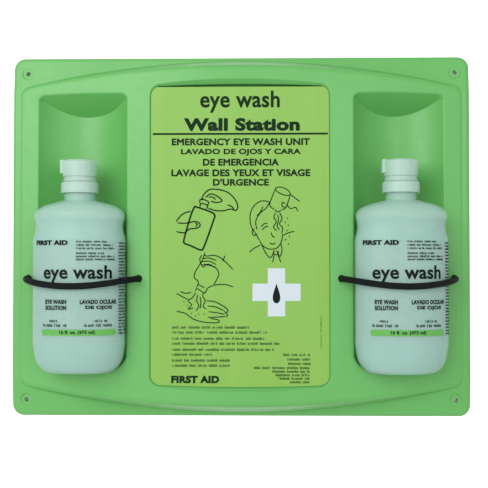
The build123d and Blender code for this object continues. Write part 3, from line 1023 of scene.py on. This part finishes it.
def nurbs_line(points: np.ndarray, samples: int) -> np.ndarray:
    """The points of a smooth NURBS line of order 3 through a route's ends.

    Args:
        points: The route's control points, shape (n, 3), in metres.
        samples: New points for each stretch.

    Returns:
        The line's points.
    """
    curve = bpy.data.curves.new("route", "CURVE")
    curve.dimensions = "3D"
    spline = curve.splines.new("NURBS")
    spline.points.add(len(points) - 1)
    flat = np.concatenate([points, np.ones((len(points), 1))], -1)
    spline.points.foreach_set("co", flat.ravel())
    spline.order_u = 3
    spline.use_endpoint_u = True
    curve.resolution_u = samples
    holder = bpy.data.objects.new("route", curve)
    mesh = bpy.data.meshes.new_from_object(holder)
    line = corners_of(mesh)
    bpy.data.meshes.remove(mesh)
    bpy.data.objects.remove(holder)
    bpy.data.curves.remove(curve)
    return line


def unit(arrows: np.ndarray) -> np.ndarray:
    """Arrows of length one."""
    return arrows / np.linalg.norm(arrows, axis=-1, keepdims=True)


def rings(line: np.ndarray, ahead: np.ndarray, up: np.ndarray, radius: np.ndarray) -> np.ndarray:
    """The rings of a tube along a line.

    A point is the line's point plus the radius times the cosine of its turn across the line
    and the sine of its turn along the line's own up.

    Args:
        line: Points of the centreline, shape (n, 3).
        ahead: The line's direction at each point.
        up: A direction that is never along the line, one or one for each point.
        radius: Radius at each point and turn, shape (n, columns).

    Returns:
        Vertices, shape (n * columns, 3).
    """
    across = unit(np.cross(ahead, up))
    over = np.cross(across, ahead)
    turn = np.linspace(0, 2 * math.pi, radius.shape[1], endpoint=False)
    spoke = across[:, None] * np.cos(turn)[:, None] + over[:, None] * np.sin(turn)[:, None]
    return (line[:, None] + radius[..., None] * spoke).reshape(-1, 3)


def tube(line: np.ndarray, radius: np.ndarray) -> tuple[np.ndarray, list]:
    """A tube along a line that never points straight up.

    Args:
        line: Points of the centreline, shape (n, 3).
        radius: Radius at each point and turn, shape (n, columns).

    Returns:
        The vertices and the faces, with both ends closed.
    """
    points = rings(line, unit(np.gradient(line, axis=0)), np.array([0, 0, 1.0]), radius)
    columns = radius.shape[1]
    first_end = np.arange(columns)
    last_end = first_end + len(points) - columns
    faces = grid_faces(len(line), columns).tolist()
    return points, faces + [first_end[::-1].tolist(), last_end.tolist()]


@dataclass
class ElasticCord:
    """One braided elastic cord over its bottle, with a knot behind the panel at each end."""

    side: Side
    hole_x: tuple[float, float] = (96.5, 205.5)
    niche_x: float = 152.0
    hole_z: float = -41.0
    radius: float = 3.0
    columns: int = 40
    strands: int = 8
    braid_pitch: float = 9.0
    braid_depth: float = 0.16
    stretch_from: float = -0.034
    stretch_to: float = -0.066
    knot_size: float = 1.32
    knot_depth: float = 1.15
    knot_radius: float = 2.35
    knot_back: float = 4.6

    def route(self) -> np.ndarray:
        """The cord's control points in metres, from behind the panel, over the bottle, back.

        Returns:
            Points, shape (11, 3).
        """
        inner, outer = (x - self.niche_x for x in self.hole_x)
        over = [
            (inner, 33.9, self.hole_z), (inner, 44.5, self.hole_z), (-45.4, 57.8, -42.6),
            (-31.2, 67.6, -45.0), (-11.7, 73.2, -47.4), (11.7, 73.2, -47.8),
            (31.2, 67.6, -45.8), (44.8, 56.6, -43.4), (51.2, 43.0, -41.6),
            (outer, 30.6, self.hole_z), (outer, 19.6, self.hole_z),
        ]
        sign = self.side.value
        return np.array([(sign * (self.niche_x + x), -y, z) for x, y, z in over]) * MM

    def build_cord(self) -> bpy.types.Object:
        """Makes the cord: a tube whose radius rises and falls in crossing diagonal strands.

        The relief is the product of two cosines, one of the turn plus the run along the cord
        and one of the turn minus it.

        Returns:
            The cord.
        """
        word = self.side.word
        line = nurbs_line(self.route(), 36)
        steps = np.linalg.norm(np.diff(line, axis=0), axis=-1)
        run = np.concatenate([[0], np.cumsum(steps)])
        turn = np.linspace(0, 2 * math.pi, self.columns, endpoint=False)
        twist = 2 * math.pi * run[:, None] / (self.braid_pitch * MM)
        weave = np.cos(self.strands / 2 * turn + twist) * np.cos(self.strands / 2 * turn - twist)
        radius = (self.radius - self.braid_depth / 2 * (1 - weave)) * MM
        points, faces = tube(line, radius)
        uv = np.stack(np.broadcast_arrays(turn / (2 * math.pi), run[:, None]), -1).reshape(-1, 2)
        cord = make_piece(f"{word}_elastic", points, faces, ELASTIC, uv)
        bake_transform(cord)
        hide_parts(f"{word}_cord")
        return cord

    def build_knots(self) -> bpy.types.Object:
        """Makes both knots: trefoils, which an overhand knot is once pulled tight.

        Across, up and towards the wall, a point of a trefoil is sin t + 2 sin 2t,
        cos t - 2 cos 2t and -sin 3t. The last is drawn out a little.

        Returns:
            The two knots as one piece.
        """
        word = self.side.word
        route = self.route()
        t = np.linspace(0, 2 * math.pi, 180, endpoint=False)
        loop = np.stack([np.sin(t) + 2 * np.sin(2 * t), -self.knot_depth * np.sin(3 * t),
                         np.cos(t) - 2 * np.cos(2 * t)], -1) * self.knot_size * MM
        ahead = unit(np.roll(loop, -1, 0) - np.roll(loop, 1, 0))
        turn = np.linspace(0, 2 * math.pi, 24, endpoint=False)
        twist = 14 * t[:, None]
        weave = np.cos(self.strands / 2 * turn + twist) * np.cos(self.strands / 2 * turn - twist)
        radius = self.knot_radius * MM * (1 - 0.03 * (1 - weave))
        ring = rings(loop, ahead, unit(loop), radius)
        faces = grid_faces(len(t), len(turn), closed_rows=True)
        back = np.array([0, self.knot_back, 0]) * MM
        points = np.concatenate([ring + route[0] + back, ring + route[-1] + back])
        both = np.concatenate([faces, faces + len(ring)]).tolist()
        uv = np.stack(np.broadcast_arrays(turn / (2 * math.pi), t[:, None] * 0.008), -1)
        uv = np.tile(uv.reshape(-1, 2), (2, 1))
        knots = make_piece(f"{word}_elastic_knots", points, both, ELASTIC, uv)
        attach(knots, "station")
        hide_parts(f"{word}_cord_knots")
        return knots


# --- Panel and placard -----------------------------------------------------------------------


def dress(node: str, finish: Finish) -> None:
    """Gives a CAD node its finish."""
    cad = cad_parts[node]
    cad.data.materials.clear()
    cad.data.materials.append(finish.material())
    LOG.info("%s: dressed in %s", node, finish.name)


@dataclass
class Placard:
    """The printed plate: a title, headlines, three drawings, a cross and small type."""

    pen: float = 0.00125
    fine_pen: float = 0.001
    cross_centre: tuple[float, float] = (34.7, -54.0)
    cross_arm: float = 8.2
    cross_reach: float = 22.8
    drop_width: float = 5.2
    drop_height: float = 9.5
    small_edge: float = -64.6
    seed: int = 11

    def __post_init__(self) -> None:
        """Finds the plate's face."""
        low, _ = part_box("placard")
        self.face = FlatFace(low[1])

    def sheet(self, name: str, finish: Finish = GREEN_INK) -> Print:
        """Starts one part of the print."""
        return Print(f"placard_{name}", self.face, finish, Slot.PLACARD, "station")

    def headings(self) -> None:
        """The title, the rule under it and the five lines of capitals."""
        title = self.sheet("title")
        title.letters("eye wash", -38 * MM, 38 * MM, 117 * MM, 138 * MM, 0.022)
        title.letters("Wall Station", -53.6 * MM, 57 * MM, 99.5 * MM, 112 * MM, 0.05)
        title.slabs(np.array([[-83.2, 83.6, 95.9, 97.7]]) * MM)
        title.make()
        lines = self.sheet("headlines")
        for words, low, high, foot in (
            ("EMERGENCY EYE WASH UNIT", -65.0, 66.5, 85.8),
            ("LAVADO DE OJOS Y CARA", -56.2, 58.0, 75.8), ("DE EMERGENCIA", -35.3, 37.1, 66.3),
            ("LAVAGE DES YEUX ET VISAGE", -65.4, 67.0, 56.2), ("D'URGENCE", -25.7, 27.6, 47.2),
        ):
            lines.letters(words, low * MM, high * MM, foot * MM, (foot + 6.8) * MM, 0.042)
        lines.make()

    def opening_drawing(self) -> None:
        """Two hands twist the cap off a bottle."""
        art = self.sheet("drawing_open")
        bottle = [(-47.5, -9.5), (-52.5, -7.5), (-53, -3), (-47, 18), (-43.5, 26.5), (-41, 27),
                  (-27, 22), (-24, 19), (-24.5, 16), (-34, -10.5), (-37, -13.8), (-41, -12.5),
                  (-47.5, -9.5)]
        art.drawing([bottle], 1.35 * self.pen, 5)
        art.drawing([
            [(-38, 27), (-37, 30.5), (-31, 28.5), (-32, 25)],
            [(-38.5, 30.8), (-37, 34.6), (-30, 32), (-31, 28.4)],
            [(-61, 13), (-56, 19), (-51, 22), (-46.5, 22.6)],
            [(-60, 12), (-52, 11.6), (-43, 13.2), (-38.5, 11.6), (-38.3, 8.4), (-42, 6.8),
             (-48, 6), (-53, 2.6), (-60.8, 3.6)],
            [(-42.6, 12), (-40.6, 10.4), (-42, 8.2)],
            [(-36, 33), (-35, 38), (-29, 43.6), (-20, 43.6), (-11, 40.6), (-4.5, 34),
             (-2, 27.5), (-4, 23.8), (-9, 25), (-16, 23.4), (-24, 23.8), (-30.5, 26)],
            [(-33, 36), (-28, 39.4), (-22, 37.6), (-17, 33), (-22, 31.4), (-28, 32.6)],
            [(-30, 36.6), (-25.5, 36.2), (-23, 34)],
            [(-12, 29), (-8, 27.6), (-5.6, 24.6)],
        ], self.pen)
        art.make()

    def eye_drawing(self) -> None:
        """A bottle rinses the eyes of a leaning head."""
        art = self.sheet("drawing_rinse_eyes")
        art.drawing([
            [(28.4, 32), (20, 32.6), (12.6, 27), (9.6, 18), (11, 8), (16, 0), (18.6, -5)],
            [(28.4, 32), (25, 26), (19, 21), (15, 13), (16.4, 5)],
            [(22, 27.6), (19.4, 22), (16, 18.6)],
            [(18.6, -5), (22, -10), (28, -13), (35, -12), (39.4, -6), (40.6, 2)],
            [(14, 6.6), (11.6, 4), (13, 0), (16.6, 1.4)],
            [(20, 8), (23, 11), (26.4, 11.4)], [(21, 5), (24, 8), (27, 8.4)],
            [(28, -7), (31, -8.4), (34, -7)], [(29.6, 3), (31, -1), (33.4, -1.6)],
            [(33.6, 44), (38, 46), (45, 43.4), (48, 39), (44, 38), (38, 40), (33.6, 44)],
            [(33.6, 44), (28.6, 31), (29.4, 27), (33, 24.6)], [(48, 39), (44, 27), (39.6, 24.2)],
            [(33, 24.6), (36, 22.4), (39.6, 24.2)],
            [(48, 39), (53, 35), (57, 32)], [(44, 30), (48, 25.6), (53, 26.6), (55, 22.6)],
            [(43, 30), (40.6, 31.4), (40, 28), (43, 26.4)],
            [(34, 22), (32.4, 17), (34.6, 13), (32, 8), (35, 4)],
            [(37.6, 22), (40, 16), (37.6, 11), (40.6, 7), (39.6, 2)],
            [(36, 20), (36.6, 14), (35.4, 9), (37.6, 5)],
            [(8.8, -16), (14, -12), (20, -9)], [(41, 0), (46, 2.4), (52, 4)],
            [(20.6, -8), (24, -16), (29, -21), (33, -14)],
            [(39, -8), (40, -14), (38, -20), (34.6, -14)],
            [(32, -14.4), (32.6, -18), (36, -18), (36.4, -14.6)],
            [(32.6, -18), (31, -26)], [(36, -18), (39, -26)],
        ], self.fine_pen)
        drops = [(43, 12.6), (46, 9.6), (44.6, 4.4), (47, -1), (43.4, -4), (46, -8), (45.4, 16)]
        art.dots(drops, 0.55, 1.5)
        art.make()

    def skin_drawing(self) -> None:
        """A hand-held bottle rinses the back of a hand."""
        art = self.sheet("drawing_rinse_hand")
        art.drawing([
            [(-33, -16), (-36, -24), (-42, -34), (-43.4, -40), (-39.6, -44), (-41, -50)],
            [(-41, -50), (-33.6, -54.6), (-30.6, -50), (-25, -47.4)],
            [(-40, -46.4), (-33, -50)], [(-41, -50), (-42.6, -53)], [(-33.6, -54.6), (-36, -57)],
            [(-25, -47.4), (-21.6, -41), (-20, -36), (-24, -30), (-33.6, -27.6)],
            [(-34.6, -18.6), (-31, -19.6), (-24, -19), (-16, -23), (-6, -33)],
            [(-14, -19), (-16.6, -25)],
            [(-36, -22), (-29, -21.6), (-22, -24)], [(-37, -25), (-29, -24.6), (-22, -28)],
            [(-36.6, -28), (-29, -27.6), (-23.4, -31)],
            [(-36, -18.6), (-38, -22), (-37.4, -26), (-35, -30), (-32.4, -28)],
            [(-25, -47.4), (-19, -46.6), (-13, -46.8), (-6, -49)],
            [(-60.6, -55), (-54, -58.6), (-49, -61)], [(-57, -53.4), (-51, -55), (-46, -54)],
            [(-42, -54), (-45, -59), (-49, -62), (-46, -66), (-49, -70), (-44, -69)],
            [(-36, -57), (-33, -62), (-35, -67), (-32, -70)],
            [(-40, -56), (-41, -62), (-39, -67), (-42, -72)], [(-38, -58), (-37, -64), (-38, -70)],
            [(-32, -62), (-24, -63), (-16, -67), (-11.4, -71), (-13, -74)],
            [(-60.6, -72), (-52, -74), (-45, -79), (-36, -82), (-26, -83), (-20, -82.4),
             (-21, -80), (-28, -79)],
            [(-31, -67), (-23, -68), (-15, -71.6)], [(-30, -72.4), (-22, -73.4), (-14, -75)],
            [(-31, -78), (-23, -77.6), (-13.6, -77)], [(-13, -74), (-11.6, -76), (-13.6, -77)],
            [(-15, -71.6), (-13, -74)],
        ], self.fine_pen)
        drops = [(-53, -63), (-50, -66.6), (-46, -74), (-42, -76.6), (-39, -75), (-34, -74.6)]
        art.dots(drops, 0.5, 1.4)
        art.make()

    def cross(self) -> None:
        """A plain white cross with a dark drop on it.

        The drop is an ellipse whose width is pinched to nothing at its top, by a power of the
        sine of half the turn.
        """
        centre = np.array(self.cross_centre)
        arm, reach = self.cross_arm, self.cross_reach
        corner = [(arm, arm), (reach, arm), (reach, -arm), (arm, -arm), (arm, -reach),
                  (-arm, -reach), (-arm, -arm), (-reach, -arm), (-reach, arm), (-arm, arm),
                  (-arm, reach), (arm, reach)]
        white = self.sheet("cross", WHITE_INK)
        white.outline((centre + np.array(corner)[::-1]) * MM)
        white.make()
        drop = self.sheet("cross_drop", BLACK_INK)
        drop.lift += drop.thickness
        turn = np.linspace(0, 2 * math.pi, 40, endpoint=False)
        pinch = np.abs(np.sin(turn / 2)) ** 1.6
        shape = np.stack([-np.sin(turn) * self.drop_width * pinch,
                          np.cos(turn) * self.drop_height - 1.0], -1)
        drop.outline((centre + shape) * MM)
        drop.make()

    def small_print(self) -> None:
        """Blocks of unreadable small type at the foot, and the maker's line in plain words."""
        chance = np.random.default_rng(self.seed)
        left = self.sheet("small_type_left")
        for high, foot in ((12.0, -88.9), (26.7, -93.6), (25.1, -99.4), (37.8, -104.1),
                           (32.8, -109.9), (-24.1, -114.6), (-7.9, -120.1), (-7.9, -125.0)):
            left.small_type(chance, self.small_edge * MM, high * MM, (foot + 0.4) * MM,
                            2.7 * MM)
        left.make()
        right = self.sheet("small_type_right")
        for low, foot in ((40.9, -114.3), (44.8, -118.5), (45.6, -122.6), (13.4, -126.6),
                          (30.8, -130.0), (33.6, -133.4), (36.6, -136.6), (47.4, -140.0)):
            right.small_type(chance, low * MM, 67.4 * MM, foot * MM, 2.5 * MM)
        right.make()
        maker = self.sheet("maker_line")
        maker.letters("FIRST AID", -65.2 * MM, -19.6 * MM, -140.2 * MM, -133.0 * MM, 0.06)
        maker.make()

    def side_type(self) -> None:
        """One tiny line that reads upward beside the cross."""
        chance = np.random.default_rng(self.seed + 1)
        side = self.sheet("small_type_side")
        heights = -107.4 + np.arange(0, 30, 0.85)
        wide = chance.uniform(0.7, 1.5, len(heights))
        keep = chance.random(len(heights)) < 0.85
        boxes = np.stack([77.4 - wide, np.full(len(heights), 77.4), heights, heights + 0.4], -1)
        side.slabs(boxes[keep] * MM)
        side.make()

    def build(self) -> None:
        """Prints the whole plate."""
        dress("placard", PLATE_PRINT)
        self.headings()
        self.opening_drawing()
        self.eye_drawing()
        self.skin_drawing()
        self.cross()
        self.small_print()
        self.side_type()


# --- Bottles ---------------------------------------------------------------------------------


@dataclass
class Bottle:
    """One squeeze bottle with its contents, closure and print."""

    side: Side
    seed: int = 23

    def __post_init__(self) -> None:
        """Finds the bottle's axis, its foot and the film that the print lies on."""
        self.word = self.side.word
        self.body = f"{self.word}_bottle_body"
        low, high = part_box(f"{self.word}_label")
        bottle_low, bottle_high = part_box(f"{self.word}_bottle")
        self.foot = bottle_low[2]
        x = (bottle_low[0] + bottle_high[0]) / 2
        y = (bottle_low[1] + bottle_high[1]) / 2
        self.face = OvalFace(x, y, high[0] - x, y - low[1])

    def dress_nodes(self) -> None:
        """Gives the CAD nodes their finishes."""
        finishes = {"bottle": BOTTLE_PLASTIC, "saline": SALINE, "label": LABEL_FILM,
                    "washer": RUBBER_SEAL, "spray_nozzle": CLOSURE_PLASTIC,
                    "collar": CLOSURE_PLASTIC, "tamper_ring": CLOSURE_PLASTIC,
                    "cap": CLOSURE_PLASTIC, "cap_liner": FOAM}
        for node, finish in finishes.items():
            dress(f"{self.word}_{node}", finish)

    def sheet(self, name: str, finish: Finish = BLACK_INK) -> Print:
        """Starts one part of the print."""
        return Print(f"{self.word}_label_{name}", self.face, finish, Slot.LABEL, self.body)

    def write(self, sheet: Print, words: str, low: float, high: float, foot: float,
              height: float, weight: float) -> None:
        """Writes words on the film.

        Args:
            sheet: The part of the print.
            words: What to write.
            low: Where they start, in millimetres across the bottle.
            high: Where they end.
            foot: Their foot over the bottle's.
            height: Their height.
            weight: How much bolder than the typeface.
        """
        sheet.letters(words, self.face.round_from(low * MM), self.face.round_from(high * MM),
                      self.foot + foot * MM, self.foot + (foot + height) * MM, weight)

    def main_print(self) -> None:
        """The name, the two columns of capitals and the band with the volume."""
        names = self.sheet("name")
        self.write(names, "FIRST AID", -37.5, -5.8, 119.6, 4.6, 0.06)
        self.write(names, "eye wash", -29.4, 33.7, 84.6, 16.4, 0.024)
        names.make()
        columns = self.sheet("columns")
        self.write(columns, "EYE WASH", -27.4, -6.9, 65.2, 4.2, 0.05)
        self.write(columns, "SOLUTION", -27.4, -6.9, 59.7, 4.2, 0.05)
        self.write(columns, "LAVADO OCULAR", 5.6, 37.4, 65.2, 4.2, 0.05)
        self.write(columns, "DE OJOS", 10.7, 33.9, 59.7, 4.2, 0.05)
        columns.make()
        band = self.sheet("band", BAND_INK)
        band.band(self.face.round_from(-30.9 * MM), self.face.round_from(36.7 * MM),
                  self.foot + 36.2 * MM, self.foot + 41.8 * MM)
        band.make()
        volume = self.sheet("volume")
        volume.lift += volume.thickness
        self.write(volume, "16 fl. oz. (473 ml)", -13.3, 19.2, 36.9, 4.2, 0.04)
        volume.make()

    def small_print(self) -> None:
        """Unreadable small type: two blocks, two captions and a column at the right side."""
        chance = np.random.default_rng(self.seed)
        small = self.sheet("small_type")
        for low, high, foot, tall in (
            (2.0, 30.0, 122.0, 2.0), (2.0, 35.0, 118.9, 2.0), (2.0, 37.3, 115.8, 2.0),
            (2.0, 29.0, 111.3, 2.0), (2.0, 36.0, 108.4, 2.0), (2.0, 37.3, 105.6, 2.0),
            (-23.1, -13.3, 48.6, 2.6), (-29.5, -5.0, 44.4, 2.8), (18.2, 30.2, 48.6, 2.6),
            (9.9, 34.9, 44.4, 2.8),
        ):
            small.small_type(chance, self.face.round_from(low * MM),
                             self.face.round_from(high * MM), self.foot + foot * MM, tall * MM)
        small.make()
        column = self.sheet("side_type")
        start = self.face.round_from(39.1 * MM)
        reach = start + 30 * MM
        for row, foot in enumerate(np.arange(121.0, 36.6, -2.9)):
            end = reach - chance.uniform(0, 8) * MM
            if row % 8 == 7:
                end = start + 14 * MM
            column.small_type(chance, start, end, self.foot + foot * MM, 1.9 * MM)
        column.make()

    def build(self) -> None:
        """Dresses and prints the bottle."""
        self.dress_nodes()
        self.main_print()
        self.small_print()


def main() -> None:
    """Builds the studio, the cords, the panel and the bottles, in that order."""
    logging.basicConfig(level=logging.INFO, format="%(name)s: %(message)s")
    Studio().build()
    for side in Side:
        cord = ElasticCord(side)
        cord.build_cord()
        cord.build_knots()
    dress("back_panel", PANEL_PLASTIC)
    Placard().build()
    for side in Side:
        Bottle(side).build()


if __name__ == "__main__":
    main()
